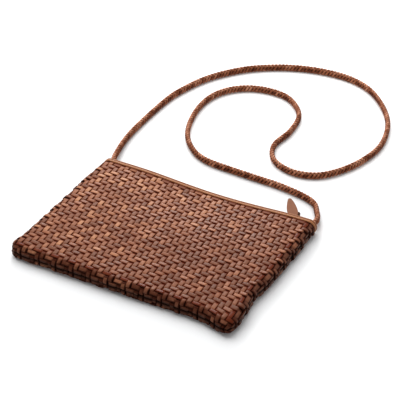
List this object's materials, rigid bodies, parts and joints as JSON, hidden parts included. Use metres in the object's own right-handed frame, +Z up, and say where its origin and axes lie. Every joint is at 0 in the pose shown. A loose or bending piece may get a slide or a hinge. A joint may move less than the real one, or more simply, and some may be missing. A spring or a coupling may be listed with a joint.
{
  "type": "woven leather shoulder bag",
  "caption": "Flat zip-top shoulder bag of twill-woven leather strips, with a bound mouth, a leather zip pull and a long plaited strap, lying on its back.",
  "frame": {"origin": "middle of the flat back face that lies on the floor, between the ends and between bottom edge and mouth", "axes": "+X along the zip, +Y from the bottom edge out of the mouth, +Z up through the bag's thickness"},
  "size_m": [0.2636, 0.482, 0.016],
  "materials": {
    "woven_leather": "satin brown leather strips, each its own shade",
    "binding_leather": "smooth tan leather",
    "strap_leather": "plaited reddish brown leather",
    "pull_leather": "matt brown leather",
    "zip_tape": "dark brown woven tape with metal teeth",
    "zip_metal": "satin aged brass"
  },
  "bodies": {
    "root": {"front_panel": "woven_leather", "back_panel": "woven_leather", "mouth_binding": "binding_leather", "zip_chain": "zip_tape", "zip_slider": "zip_metal", "zip_pull": "pull_leather", "strap": "strap_leather"}
  },
  "joints": []
}
